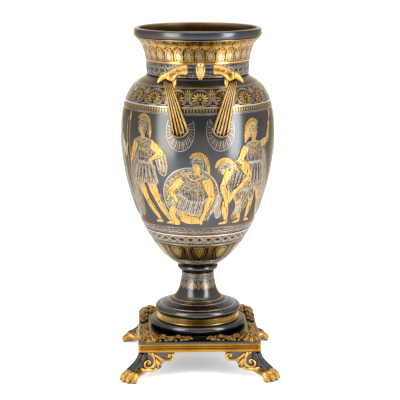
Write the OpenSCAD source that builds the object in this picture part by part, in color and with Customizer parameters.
// Two-handled bronze vase on a square plinth with four paw feet.
// Millimetres. Origin: centre of the four paws on the ground. +Z up, the front handle faces -Y.
// The plinth, the foot and the vase are a stack of rings and castings clamped by one tie rod.

/* [Heights, from the ground up] */
// Legs, from the ground to the underside of the plinth
leg_h = 38; // [30:0.5:50]
// Gilt moulding round the plinth
moulding_h = 11.5; // [9:0.5:16]
// Sloping edge of the plinth above its moulding
slope_h = 7; // [4:0.5:10]
// Round step that stands on the plinth
step_h = 11; // [8:0.5:15]
// Gilt milled band above the step
band_h = 9.5; // [6:0.5:14]
// Polished torus of the foot
torus_h = 10; // [7:0.5:14]
// Low cushion between the torus and the stem
cushion_h = 7; // [5:0.5:10]
// Slender stem
stem_h = 41; // [30:1:60]
// Knop between the stem and the body
knop_h = 11; // [8:0.5:15]
// Body, from the knop up to its widest circle
body_low_h = 188; // [150:1:240]
// Body, from its widest circle up to the neck
body_up_h = 81; // [64:1:100]
// Neck, from the shoulder up to the rim
neck_h = 54; // [44:1:66]
// Lower cup of the body, from the knop up to its seam
cup_h = 54.6; // [46:0.2:62]
// Seam between belly and shoulder, above the widest circle
shoulder_seam_h = 46.8; // [38:0.2:55]
// Gold wire round the neck, above the shoulder
gold_wire_h = 21.8; // [14:0.2:30]
// Rim ring
rim_h = 11; // [8:0.5:15]

/* [Radii] */
// Body at its widest circle
body_r = 107.3; // [88:0.1:130]
// Foot of the body, where it leaves the knop
body_foot_r = 32.9; // [27:0.1:38]
// Neck at the shoulder
neck_r = 70.8; // [58:0.1:84]
// Top of the neck under the rim
neck_top_r = 86.5; // [80:0.1:100]
// Overhang of the rim ring past the neck
rim_overhang = 2.3; // [1:0.1:6]
// Knop at its widest circle
knop_r = 29; // [26:0.1:35]
// Stem just under the knop
stem_top_r = 23; // [18:0.1:25]
// Stem where it meets the cushion
stem_foot_r = 38.5; // [33:0.1:44]
// Torus of the foot at its widest circle
torus_r = 60.9; // [56:0.1:66]
// Gilt band at its bottom edge
band_r = 59.5; // [55:0.1:62]
// Round step at its widest circle
step_r = 68; // [64:0.1:72]

/* [Plinth and legs] */
// Width of the plinth across its moulding
plinth_w = 175.4; // [160:0.2:215]
// Chamfer at the plinth's corners
corner_chamfer = 4; // [2:0.5:6]
// Depth of the gilt moulding from front to back
moulding_t = 6; // [5:0.5:8]
// Width of the plinth's sloping edge, seen from above
slope_w = 11; // [8:0.5:14]
// Thickness of the plinth's plate below its slope
plate_t = 5; // [4:0.5:8]
// Length of a leg's scrolled wing along the plinth
wing_l = 50; // [44:0.5:58]
// Thickness of a wing
wing_t = 7; // [5:0.5:9]
// Distance from the plinth's corner out to the middle of a paw, along the diagonal
paw_reach = 27; // [24:0.5:32]
// Radius of a toe
toe_r = 5.5; // [4.5:0.1:6.2]

/* [Handles] */
// Height of the handle's bar above the shoulder
bar_rise = 16; // [14:0.5:20]
// Distance of the bar's axis in front of the neck
bar_reach = 29.2; // [26:0.2:36]
// Radius of the bar
bar_r = 6; // [5:0.1:7]
// Half the visible length of the bar
bar_half = 21.5; // [18:0.5:25]
// Half the distance between the two fluted roots at the top
root_top_x = 44.5; // [41:0.5:49]
// Half the distance between the two fluted roots at the bottom
root_foot_x = 25.5; // [22:0.5:30]
// Half the width of a fluted root at the top
root_top_w = 5; // [4:0.1:6]
// Half the width of a fluted root at the bottom
root_foot_w = 12; // [9:0.1:14]
// Thickness of a fluted root
root_t = 8; // [6:0.5:10]
// Height of a root's top below the bar's axis
root_drop = 15; // [13:0.5:18]
// Height of a root's rounded end above the widest circle of the body
root_foot_up = 9; // [0:1:16]

/* [Walls, rod and screws] */
// Wall of the body and the neck
wall = 3; // [2:0.1:4]
// Floor of the body over the knop
floor_t = 6; // [4:0.5:9]
// Width of the inlaid wires that ring the body and the neck
wire_w = 1.6; // [1:0.1:2.4]
// How far those wires stand proud of the wall
wire_proud = 0.6; // [0.3:0.1:1]
// Radius of the tie rod
rod_r = 4; // [3:0.1:5]
// Radial clearance round the tie rod
rod_gap = 0.5; // [0.2:0.1:0.8]
// Radius of the leg screws
leg_screw_r = 2.5; // [2:0.1:3]
// Radius of the handle screws
handle_screw_r = 2; // [1.5:0.1:2.5]
// Radius of the pins in the mouldings and ornaments
pin_r = 1.2; // [0.8:0.1:1.5]
// Radial clearance in a hole that a screw passes through
screw_gap = 0.3; // [0.1:0.1:0.5]

/* [Hidden] */
$fn = 96;
node = "all";
CORNERS = ["back_right", "back_left", "front_left", "front_right"];
SIDES = ["back", "left", "front", "right"];
NODES = [
    "rim_ring", "neck_shell", "gold_wire", "shoulder_shell", "silver_wire", "belly_shell",
    "ground_wire", "cup_shell", "knop_ring", "foot_stem", "foot_moulding", "foot_band", "plinth_step", "plinth_plate",
    "moulding_back", "moulding_left", "moulding_front", "moulding_right", "moulding_pins",
    "ornament_back_right", "ornament_back_left", "ornament_front_left", "ornament_front_right",
    "ornament_studs",
    "leg_back_right", "leg_back_left", "leg_front_left", "leg_front_right", "leg_screws",
    "paw_back_right", "paw_back_left", "paw_front_left", "paw_front_right", "paw_pins",
    "front_bar", "front_bud", "front_head_left", "front_head_right",
    "front_root_left", "front_root_right",
    "rear_bar", "rear_bud", "rear_head_left", "rear_head_right",
    "rear_root_left", "rear_root_right", "handle_screws",
    "tie_rod", "bowl_washer", "bowl_nut", "plinth_washer", "plinth_nut"
];

// Levels of the stack
moulding_z = leg_h;
plate_z = moulding_z + moulding_h - plate_t;
slope_z = moulding_z + moulding_h;
step_z = slope_z + slope_h;
band_z = step_z + step_h;
torus_z = band_z + band_h;
cushion_z = torus_z + torus_h;
stem_z = cushion_z + cushion_h;
knop_z = stem_z + stem_h;
body_z = knop_z + knop_h;
wide_z = body_z + body_low_h;
neck_z = wide_z + body_up_h;
rim_z = neck_z + neck_h;
top_z = rim_z + rim_h;
cup_seam_z = body_z + cup_h;
shoulder_seam_z = wide_z + shoulder_seam_h;
gold_wire_z = neck_z + gold_wire_h;

// Plinth
plinth_half = plinth_w / 2;
plate_half = plinth_half - moulding_t;
flat_half = plate_half - slope_w;
diagonal = sqrt(2);

// Tie rod
bore_r = rod_r + rod_gap;
washer_t = 3;
nut_h = 7;
nut_r = 2 * rod_r;
rod_end = 3;
rod_low_z = plate_z - washer_t - nut_h - rod_end;
rod_high_z = body_z + floor_t + washer_t + nut_h + rod_end;

// Legs
screw_place = plate_half - wing_t - 9;
flange_t = 5;
boss_r = 8;
paw_u = plate_half * diagonal + paw_reach;
pad_r = 11;
toe_pitch = 5.8;
shank_t = 13;

// Handles
bar_z = neck_z + bar_rise;
bar_y = neck_r + bar_reach;
head_r = bar_r + 1.6;
head_socket = 9;
head_bend_r = 22;
root_top_z = bar_z - root_drop;
root_foot_z = wide_z + root_foot_up;
root_foot_y = body_r - 1.2;
screw_z = root_foot_z + 6;

// Curves ------------------------------------------------------------------------------

// Point at t on the cubic curve with the four control points p
function bezier(p, t) = pow(1 - t, 3) * p[0] + 3 * t * pow(1 - t, 2) * p[1]
    + 3 * t * t * (1 - t) * p[2] + pow(t, 3) * p[3];

// Direction of that curve at t
function heading(p, t) = pow(1 - t, 2) * (p[1] - p[0]) + 2 * t * (1 - t) * (p[2] - p[1])
    + t * t * (p[3] - p[2]);

// The curve as n steps, moved to its left by d
function curve(p, n, d = 0) = [
    for (i = [0:n])
        let (t = i / n, h = heading(p, t), s = norm(h))
            bezier(p, t) + d / s * [-h[1], h[0]]
];

// Arc of radius r about the point c, from angle a to angle b
function arc(c, r, a, b, n = 12) = [
    for (i = [0:n])
        let (w = a + (b - a) * i / n)
            c + r * [cos(w), sin(w)]
];

// Share t of the rising curve p at the height z, found by halving the interval n times
function t_at(p, z, low = 0, high = 1, n = 24) =
    let (t = (low + high) / 2)
        n == 0 ? t : bezier(p, t)[1] < z ? t_at(p, z, t, high, n - 1) : t_at(p, z, low, t, n - 1);

// Points of the list l in reverse order
function reversed(l) = [for (i = [len(l) - 1:-1:0]) l[i]];

// Profile of the body: the swelling lower part, then the shoulder
body_low = [
    [body_foot_r, body_z + 2],
    [body_foot_r + 42.2, body_z + 30.4],
    [body_r, body_z + 113.8],
    [body_r, wide_z]
];
shoulder = [
    [body_r, wide_z],
    [body_r, neck_z - 6.4],
    [neck_r + 2, neck_z - 5.5],
    [neck_r + 0.7, neck_z]
];
neck_curve = [
    [neck_r, neck_z],
    [neck_r, rim_z - 1],
    [neck_top_r + 2, rim_z - 5.4],
    [neck_top_r, rim_z]
];
stem_curve = [
    [stem_foot_r, stem_z + 1],
    [stem_foot_r - 3.9, stem_z + 1.7],
    [stem_top_r + 0.7, stem_z + 10],
    [stem_top_r, knop_z]
];

// Solid of revolution of the profile pts
module turned(pts) {
    rotate_extrude() polygon(pts);
}

// Outside of the body as one solid, for what has to lie against it
module body_form() {
    turned(concat(
        [[0, body_z]], curve(body_low, 20), curve(shoulder, 20), [[0, neck_z]]
    ));
}

// Upright hole for the tie rod
module rod_hole(z, h) {
    translate([0, 0, z - 1]) cylinder(r = bore_r, h = h + 2);
}

// Vase --------------------------------------------------------------------------------

rim_r = neck_top_r + rim_overhang;
rim_inner_r = neck_top_r - wall - 2;
rim_edge = 1.5;

// Turned ring brazed on top of the neck
module rim_ring() {
    color("#30353b") turned([
        [rim_inner_r, rim_z],
        [neck_top_r, rim_z],
        [rim_r, rim_z + rim_edge],
        [rim_r, top_z - rim_edge],
        [rim_r - 2 * rim_edge, top_z],
        [rim_inner_r + rim_edge, top_z],
        [rim_inner_r, top_z - rim_edge]
    ]);
}

// Wire let into the wall where the curve p is at the height z
module wire(p, z) {
    t = t_at(p, z);
    h = heading(p, t) / norm(heading(p, t));
    out = [h[1], -h[0]];
    middle = bezier(p, t);
    turned([
        middle + wire_proud * out - wire_w / 2 * h,
        middle + wire_proud * out + wire_w / 2 * h,
        middle - wire_proud * out + wire_w / 2 * h,
        middle - wire_proud * out - wire_w / 2 * h
    ]);
}

module gold_wire() {
    color("#c9973f") wire(neck_curve, gold_wire_z);
}

// Wire that covers the seam between belly and shoulder
module silver_wire() {
    color("#d8cdb8") wire(shoulder, shoulder_seam_z);
}

// Wire that covers the seam between cup and belly, the ground of the frieze
module ground_wire() {
    color("#d8cdb8") wire(body_low, cup_seam_z);
}

// Flaring neck with a flat top for the rim, grooved for its wire
module neck_shell() {
    inside = [for (p = reversed(curve(neck_curve, 14, wall))) if (p[1] < rim_z - wall / 2) p];
    color("#3a4046") difference() {
        turned(concat(curve(neck_curve, 14), [[neck_top_r - wall, rim_z]], inside));
        wire(neck_curve, gold_wire_z);
    }
}

// Holes for the four handle screws, with a flat seat inside for each head
module handle_screw_holes() {
    for (turn = [0, 180], side = [-1, 1])
        rotate([0, 0, turn]) root_screw_axis(side) {
            cylinder(r = handle_screw_r + screw_gap, h = 3 * wall, center = true);
            translate([0, 0, seat_in - 2 * wall]) cylinder(r = head_over + handle_screw_r + screw_gap, h = 2 * wall);
        }
}

// Whole wall of the body with its floor, before it is parted at its seams
module body_wall() {
    floor_z = body_z + floor_t;
    inside = [
        for (p = concat(reversed(curve(shoulder, 20, wall)), reversed(curve(body_low, 20, wall))))
            if (p[1] > floor_z && p[1] < neck_z) p
    ];
    difference() {
        turned(concat(
            [[bore_r, body_z], [body_foot_r - 5, body_z]],
            curve(body_low, 20), curve(shoulder, 20),
            [[neck_r - wall, neck_z]],
            inside,
            [[inside[len(inside) - 1][0] - 1, floor_z], [bore_r, floor_z]]
        ));
        handle_screw_holes();
        wire(shoulder, shoulder_seam_z);
        wire(body_low, cup_seam_z);
    }
}

// The part of the wall between the heights low and high
module wall_section(low, high) {
    color("#2b3038") intersection() {
        body_wall();
        translate([0, 0, low]) cylinder(r = 2 * body_r, h = high - low);
    }
}

// Lower cup, with the floor over the knop
module cup_shell() {
    wall_section(body_z, cup_seam_z);
}

// Belly, which carries the frieze and the four handle screws
module belly_shell() {
    wall_section(cup_seam_z, shoulder_seam_z);
}

module shoulder_shell() {
    wall_section(shoulder_seam_z, neck_z);
}

// Polished knop between the stem and the body
module knop_ring() {
    bead = knop_h / 2;
    color("#2b3038") turned(concat(
        [[bore_r, knop_z], [stem_top_r, knop_z]],
        arc([knop_r - bead, knop_z + bead], bead, -80, 80),
        [[bore_r, body_z]]
    ));
}

// Foot --------------------------------------------------------------------------------

ring_inner_r = 42;

// Hollow trumpet stem with a flat top for the knop
module foot_stem() {
    top_t = 5;
    color("#2b3038") turned(concat(
        [[bore_r, knop_z - top_t], [bore_r, knop_z]],
        reversed(curve(stem_curve, 14)),
        [[stem_foot_r, stem_z], [stem_foot_r - 2 * wall, stem_z], [stem_top_r - 2 * wall, knop_z - 2 * top_t]],
        [[stem_top_r - 2 * wall, knop_z - top_t]]
    ));
}

// Torus and cushion in one casting, closed on top by a web that carries the stem
module foot_moulding() {
    bead = torus_h / 2;
    web_t = 4;
    color("#3b2c24") turned(concat(
        [[ring_inner_r, torus_z], [torus_r - bead, torus_z]],
        arc([torus_r - bead, torus_z + bead], bead, -90, 60),
        curve([
            [torus_r - 7.5, cushion_z],
            [torus_r - 9, cushion_z + 1],
            [stem_foot_r + 6, stem_z - 1.5],
            [stem_foot_r + 0.5, stem_z]
        ], 8),
        [[bore_r, stem_z], [bore_r, stem_z - web_t], [ring_inner_r, stem_z - web_t - 3]]
    ));
}

// Gilt milled band
module foot_band() {
    color("#c9973f") turned([
        [ring_inner_r, band_z],
        [band_r, band_z],
        [band_r - 0.6, band_z + 1.2],
        [band_r - 1.8, torus_z - 1.2],
        [band_r - 3.5, torus_z],
        [ring_inner_r, torus_z]
    ]);
}

// Polished round step
module plinth_step() {
    bead = step_h / 2;
    color("#2b3038") turned(concat(
        [[ring_inner_r, step_z]],
        arc([step_r - bead, step_z + bead], bead, -90, 70),
        [[band_r + 1, band_z], [ring_inner_r, band_z]]
    ));
}

// Plinth ------------------------------------------------------------------------------

// Bar along X with the cross-section pts, drawn in Y and Z
module bar_along_x(pts, length) {
    rotate([90, 0, 90]) linear_extrude(height = length, center = true) polygon(pts);
}

// Top of the plinth: a slab whose four edges slope
module plinth_form() {
    section = [
        [-plate_half, plate_z],
        [plate_half, plate_z],
        [plate_half, slope_z],
        [flat_half, step_z],
        [-flat_half, step_z],
        [-plate_half, slope_z]
    ];
    intersection() {
        bar_along_x(section, 2 * plate_half);
        rotate([0, 0, 90]) bar_along_x(section, 2 * plate_half);
    }
}

// The four corner places, one after the other
module at_corners() {
    for (k = [0:3])
        rotate([0, 0, 90 * k]) children();
}

// Cast plate with a boss at each corner for a leg
module plinth_plate() {
    color("#2b3038") difference() {
        union() {
            plinth_form();
            at_corners() translate([screw_place, screw_place, leg_h]) cylinder(r = boss_r, h = plate_z - leg_h + 1);
        }
        rod_hole(plate_z, step_z - plate_z);
        at_corners() {
            translate([screw_place, screw_place, leg_h - 1]) cylinder(r = leg_screw_r, h = screw_bite + 1);
            translate([stud_place, stud_place, step_z - stud_bite]) cylinder(r = pin_r, h = stud_bite + 1);
            moulding_pin_pair();
        }
    }
}

screw_bite = 9;
stud_bite = 6;
stud_place = flat_half - 5;
pin_l = 6;

// Section of the gilt moulding: a bead, a groove, a cove and a fillet
module moulding_section() {
    back = plate_half;
    face = plinth_half;
    low = 0.46 * moulding_h;
    polygon(concat(
        [[back, moulding_z], [face - 2, moulding_z]],
        arc([face - low / 2 + 0.2, moulding_z + low / 2], low / 2 - 0.2, -80, 80, 8),
        [[face - 2.4, moulding_z + low + 0.3]],
        arc([face + 0.9, moulding_z + 0.72 * moulding_h], 2.2, 235, 125, 6),
        [[face - 1.2, slope_z - 1], [face - 1.7, slope_z], [back, slope_z]]
    ));
}

// One side of the moulding, mitred at 45 degrees and chamfered at the corners
module moulding_strip() {
    intersection() {
        rotate([90, 0, 90]) linear_extrude(height = plinth_w, center = true) moulding_section();
        translate([0, 0, moulding_z - 1]) linear_extrude(height = moulding_h + 2) polygon([
            [0, 0],
            [-(plinth_half - corner_chamfer / 2), plinth_half - corner_chamfer / 2],
            [-(plinth_half - corner_chamfer), plinth_half],
            [plinth_half - corner_chamfer, plinth_half],
            [plinth_half - corner_chamfer / 2, plinth_half - corner_chamfer / 2]
        ]);
    }
}

// The two pins that hold the moulding of one side to the edge of the plate
module moulding_pin_pair() {
    for (side = [-1, 1])
        translate([side * plate_half / 2, plate_half - pin_l / 2, plate_z + plate_t / 2])
            rotate([-90, 0, 0]) cylinder(r = pin_r, h = pin_l);
}

module moulding(k) {
    color("#c98a2a") rotate([0, 0, 90 * k]) difference() {
        moulding_strip();
        moulding_pin_pair();
    }
}

module moulding_pins() {
    color("#b08d57") at_corners() moulding_pin_pair();
}

// Ornaments on the plinth -------------------------------------------------------------

ornament_arm_l = 62;
ornament_arm_r = 4;
ornament_boss_r = 12;

// Gilt corner ornament: a leafy boss with a scrolled arm along each edge
module ornament(k) {
    edge = flat_half + slope_w / 2;
    color("#c9973f") rotate([0, 0, 90 * k]) difference() {
        union() {
            translate([edge - 2, edge - 2, slope_z - 1]) sphere(r = ornament_boss_r);
            for (swap = [0, 1])
                mirror([swap, -swap, 0]) translate([edge - ornament_arm_l, edge, step_z - 1])
                    rotate([0, 90, 0]) cylinder(r1 = ornament_arm_r / 2, r2 = ornament_arm_r, h = ornament_arm_l);
        }
        plinth_form();
        translate([0, 0, slope_z - 30]) cube([2 * plinth_half, 2 * plinth_half, 60], center = true);
        translate([stud_place, stud_place, step_z - 1]) cylinder(r = pin_r, h = 3.5);
    }
}

module ornament_studs() {
    color("#b08d57") at_corners() translate([stud_place, stud_place, step_z - stud_bite])
        cylinder(r = pin_r, h = stud_bite + 2.5);
}

// Legs --------------------------------------------------------------------------------

volute_r = 9;
eye_r = 5.5;
volute_a = plate_half - 10;
volute_z = leg_h - 16;
drop_a = volute_a - 14;
eye_a = plate_half + 3 - wing_l;

// Outline of a scrolled wing: a along the plinth's edge, z up
module wing_outline() {
    top_a = plate_half + 2 - wing_l;
    translate([volute_a, volute_z]) circle(r = volute_r);
    translate([eye_a + eye_r + 1, leg_h - eye_r - 1]) circle(r = eye_r);
    translate([drop_a, leg_h - 20]) circle(r = 4.5);
    polygon(concat(
        [[top_a, leg_h]],
        curve([
            [eye_a + eye_r + 3, leg_h - 2 * eye_r - 0.6],
            [eye_a + eye_r + 10, leg_h - 12],
            [drop_a - 4, leg_h - 16],
            [drop_a - 4, leg_h - 20]
        ], 6),
        [[drop_a + 4, leg_h - 21], [volute_a, volute_z - volute_r + 0.5]],
        [[plate_half, volute_z - 4], [plate_half, leg_h]]
    ));
}

// Both wings of a leg, one along each edge of the corner
module wings() {
    for (swap = [0, 1])
        mirror([swap, -swap, 0]) translate([0, plate_half, 0]) rotate([90, 0, 0])
            linear_extrude(height = wing_t) wing_outline();
}

// Bar of thickness t with the outline pts, drawn in the upright plane through the diagonal
module on_diagonal(pts, t) {
    rotate([0, 0, 45]) rotate([90, 0, 0]) linear_extrude(height = t, center = true) polygon(pts);
}

// Line where the dark back of a leg lies on its gilt shank, from the wings to the paw
function split_line(n = 8) = curve([
    [paw_u - 42, leg_h - 18],
    [paw_u - 32, leg_h - 18],
    [paw_u - 22, 14],
    [paw_u - 8, 15]
], n);

// Dark back of the leg
module leg_back() {
    corner_u = plate_half * diagonal;
    on_diagonal(concat(
        [[paw_u - 42, leg_h]],
        curve([
            [corner_u - 2, leg_h],
            [corner_u + 1, leg_h - 14],
            [paw_u - 12, 22],
            [paw_u - 5, 17]
        ], 8),
        reversed(split_line())
    ), shank_t);
}

// Gilt shank under the dark back
module shank() {
    on_diagonal(concat(
        split_line(),
        [[paw_u, 6], [paw_u - 8, 3]],
        curve([
            [paw_u - 14, 3],
            [paw_u - 20, 4],
            [paw_u - 30, leg_h - 26],
            [paw_u - 42, leg_h - 24]
        ], 8)
    ), shank_t);
}

// Room that the shank takes in the leg, down to the ground
module shank_room() {
    on_diagonal(concat(split_line(), [[paw_u - 8, 0], [paw_u - 42, 0]]), shank_t);
}

// Dark leg bracket: two scrolled wings, the back of the leg and a flange for its screw
module leg(k) {
    flange_w = plate_half - screw_place + 8;
    color("#30353b") rotate([0, 0, 90 * k]) difference() {
        union() {
            wings();
            leg_back();
            translate([screw_place - 8, screw_place - 8, leg_h - flange_t]) cube([flange_w, flange_w, flange_t]);
        }
        shank_room();
        translate([screw_place, screw_place, 0]) cylinder(r = leg_screw_r + 2.5, h = leg_h - flange_t);
        translate([screw_place, screw_place, leg_h - flange_t - 1]) cylinder(r = leg_screw_r + screw_gap, h = flange_t + 2);
        paw_pin();
    }
}

// Gilt paw with four toes, its heel and the shank that rises to the wings
module paw(k) {
    color("#d9a23a") rotate([0, 0, 90 * k]) difference() {
        union() {
            shank();
            rotate([0, 0, 45]) translate([paw_u, 0, 0]) {
                translate([-3, 0, 0]) cylinder(r = pad_r, h = 8);
                translate([-3, 0, 8]) sphere(r = pad_r - 0.7);
                for (toe = [-1.5:1:1.5])
                    translate([5 - 1.3 * toe * toe, toe_pitch * toe, toe_r - 0.6]) sphere(r = toe_r);
            }
        }
        translate([0, 0, -10]) cube([4 * plinth_w, 4 * plinth_w, 20], center = true);
        leg_back();
        paw_pin();
    }
}

// Upright pin that joins a paw's shank to its leg
module paw_pin() {
    rotate([0, 0, 45]) translate([paw_u - 16, 0, 9]) cylinder(r = pin_r, h = 11);
}

module paw_pins() {
    color("#b08d57") at_corners() paw_pin();
}

module leg_screws() {
    head_h = 3.5;
    color("#8f8f8f") at_corners() translate([screw_place, screw_place, leg_h - flange_t - head_h]) {
        cylinder(r = leg_screw_r + 2, h = head_h);
        cylinder(r = leg_screw_r, h = head_h + flange_t + screw_bite - 1);
    }
}

// Handles -----------------------------------------------------------------------------
// Each handle is drawn on the +Y side and turned to its place. side is -1 or 1 along X.

bud_r = 7.8;

module handle_bar() {
    length = 2 * (bar_half + head_socket);
    color("#30353b") translate([0, bar_y, bar_z]) rotate([0, 90, 0])
        cylinder(r = bar_r, h = length, center = true);
}

// Ribbed bud threaded on the bar, pointed at the bottom
module handle_bud() {
    color("#c9973f") difference() {
        translate([0, bar_y, bar_z]) turned([
            [0, -14.5],
            [3, -11.5],
            [6, -7],
            [bud_r, -2],
            [bud_r, 3],
            [6.5, 6.5],
            [5, 8],
            [4.5, 10.5],
            [0, 10.5]
        ]);
        translate([0, bar_y, bar_z]) rotate([0, 90, 0]) cylinder(r = bar_r, h = 4 * bud_r, center = true);
    }
}

// Frame of a fluted root: Z runs up along it from its rounded end, +Y is its outer face
module root_frame(side) {
    rise = root_top_z - root_foot_z;
    lean_x = atan((root_top_x - root_foot_x) / rise);
    lean_y = atan((root_foot_y - bar_y) / rise);
    translate([side * root_foot_x, root_foot_y, root_foot_z])
        rotate([lean_y, side * lean_x, 0]) children();
}

root_l = norm([root_top_x - root_foot_x, root_foot_y - bar_y, root_top_z - root_foot_z]);

// Outline of a root, wider at its rounded end, grown by g all round
module root_outline(g = 0) {
    foot = root_foot_w + g;
    top = root_top_w + g;
    polygon(concat(
        arc([0, foot], foot, 180, 360, 16),
        [[top, root_l + g], [-top, root_l + g]]
    ));
}

module root_solid(side, g = 0) {
    root_frame(side) rotate([90, 0, 0])
        linear_extrude(height = root_t + 2 * g, center = true) root_outline(g);
}

// Axis of the screw that holds a root, from the middle of the body's wall outwards
module root_screw_axis(side) {
    angle = atan(root_foot_x / root_foot_y);
    wall_r = bezier(shoulder, t_at(shoulder, screw_z))[0];
    translate([0, 0, screw_z]) rotate([0, 0, -side * angle]) translate([0, wall_r - wall / 2, 0])
        rotate([-90, 0, 0]) children();
}

// Fluted root that widens downwards and lies against the body
module handle_root(side) {
    color("#d9a23a") difference() {
        root_solid(side);
        body_form();
        wire(shoulder, shoulder_seam_z);
        root_screw_axis(side) cylinder(r = handle_screw_r, h = wall / 2 + root_bite);
    }
}

root_bite = 4;
head_over = 2;
seat_in = 0.5 - wall / 2;

// Bird's head: a neck that sleeves over the bar, bends down and grips the root in its beak
module handle_head(side) {
    bend = 55;
    end_x = bar_half + head_bend_r * sin(bend);
    end_z = bar_z - head_bend_r * (1 - cos(bend));
    color("#d9a23a") translate([0, bar_y, 0]) mirror([side < 0 ? 1 : 0, 0, 0]) difference() {
        union() {
            translate([bar_half, 0, bar_z - head_bend_r]) rotate([90, 0, 0]) rotate([0, 0, 90 - bend])
                rotate_extrude(angle = bend) translate([head_bend_r, 0]) circle(r = head_r, $fn = 32);
            translate([end_x, 0, end_z]) sphere(r = head_r + 0.6);
            hull() {
                translate([end_x, 0, end_z + 2]) sphere(r = head_r - 1.5, $fn = 24);
                translate([root_top_x + 13, 0, root_top_z - 1]) sphere(r = 2, $fn = 24);
            }
            hull() {
                translate([end_x - 3, 0, end_z - 2]) sphere(r = head_r - 2.5, $fn = 24);
                translate([root_top_x - 8.2, 0, root_top_z - 10]) sphere(r = 2.2, $fn = 24);
            }
        }
        translate([0, 0, bar_z]) rotate([0, 90, 0]) cylinder(r = bar_r, h = bar_half + head_socket);
        translate([0, -bar_y, 0]) root_solid(1);
    }
}

// Screws that hold the four roots, with their heads inside the body
module handle_screws() {
    head_h = 2.5;
    color("#8f8f8f") for (turn = [0, 180], side = [-1, 1])
        rotate([0, 0, turn]) root_screw_axis(side) {
            translate([0, 0, seat_in - head_h]) cylinder(r = handle_screw_r + head_over, h = head_h);
            translate([0, 0, seat_in]) cylinder(r = handle_screw_r, h = wall - seat_in + root_bite - 2);
        }
}

// Tie rod -----------------------------------------------------------------------------

module tie_rod() {
    color("#8f8f8f") translate([0, 0, rod_low_z]) cylinder(r = rod_r, h = rod_high_z - rod_low_z);
}

module rod_washer(z, r) {
    color("#8f8f8f") translate([0, 0, z]) difference() {
        cylinder(r = r, h = washer_t);
        translate([0, 0, -1]) cylinder(r = bore_r, h = washer_t + 2);
    }
}

module rod_nut(z) {
    color("#8f8f8f") translate([0, 0, z]) difference() {
        cylinder(r = nut_r, h = nut_h, $fn = 6);
        translate([0, 0, -1]) cylinder(r = rod_r, h = nut_h + 2);
    }
}

module bowl_washer() {
    rod_washer(body_z + floor_t, 16);
}

module bowl_nut() {
    rod_nut(body_z + floor_t + washer_t);
}

module plinth_washer() {
    rod_washer(plate_z - washer_t, 22);
}

module plinth_nut() {
    rod_nut(plate_z - washer_t - nut_h);
}

// Drawing -----------------------------------------------------------------------------

// True when the node called name is to be drawn
function on(name) = node == "all" || node == name;

if (on("rim_ring")) rim_ring();
if (on("neck_shell")) neck_shell();
if (on("gold_wire")) gold_wire();
if (on("shoulder_shell")) shoulder_shell();
if (on("silver_wire")) silver_wire();
if (on("belly_shell")) belly_shell();
if (on("ground_wire")) ground_wire();
if (on("cup_shell")) cup_shell();
if (on("knop_ring")) knop_ring();
if (on("foot_stem")) foot_stem();
if (on("foot_moulding")) foot_moulding();
if (on("foot_band")) foot_band();
if (on("plinth_step")) plinth_step();
if (on("plinth_plate")) plinth_plate();
for (k = [0:3])
    if (on(str("moulding_", SIDES[k]))) moulding(k);
if (on("moulding_pins")) moulding_pins();
for (k = [0:3])
    if (on(str("ornament_", CORNERS[k]))) ornament(k);
if (on("ornament_studs")) ornament_studs();
for (k = [0:3])
    if (on(str("leg_", CORNERS[k]))) leg(k);
if (on("leg_screws")) leg_screws();
for (k = [0:3])
    if (on(str("paw_", CORNERS[k]))) paw(k);
if (on("paw_pins")) paw_pins();
for (place = [["front_", 180], ["rear_", 0]]) {
    // Seen from in front of its own handle, left is the -X side of the front handle
    for (side = [["left", 1], ["right", -1]]) {
        if (on(str(place[0], "head_", side[0]))) rotate([0, 0, place[1]]) handle_head(side[1]);
        if (on(str(place[0], "root_", side[0]))) rotate([0, 0, place[1]]) handle_root(side[1]);
    }
    if (on(str(place[0], "bar"))) rotate([0, 0, place[1]]) handle_bar();
    if (on(str(place[0], "bud"))) rotate([0, 0, place[1]]) handle_bud();
}
if (on("handle_screws")) handle_screws();
if (on("tie_rod")) tie_rod();
if (on("bowl_washer")) bowl_washer();
if (on("bowl_nut")) bowl_nut();
if (on("plinth_washer")) plinth_washer();
if (on("plinth_nut")) plinth_nut();
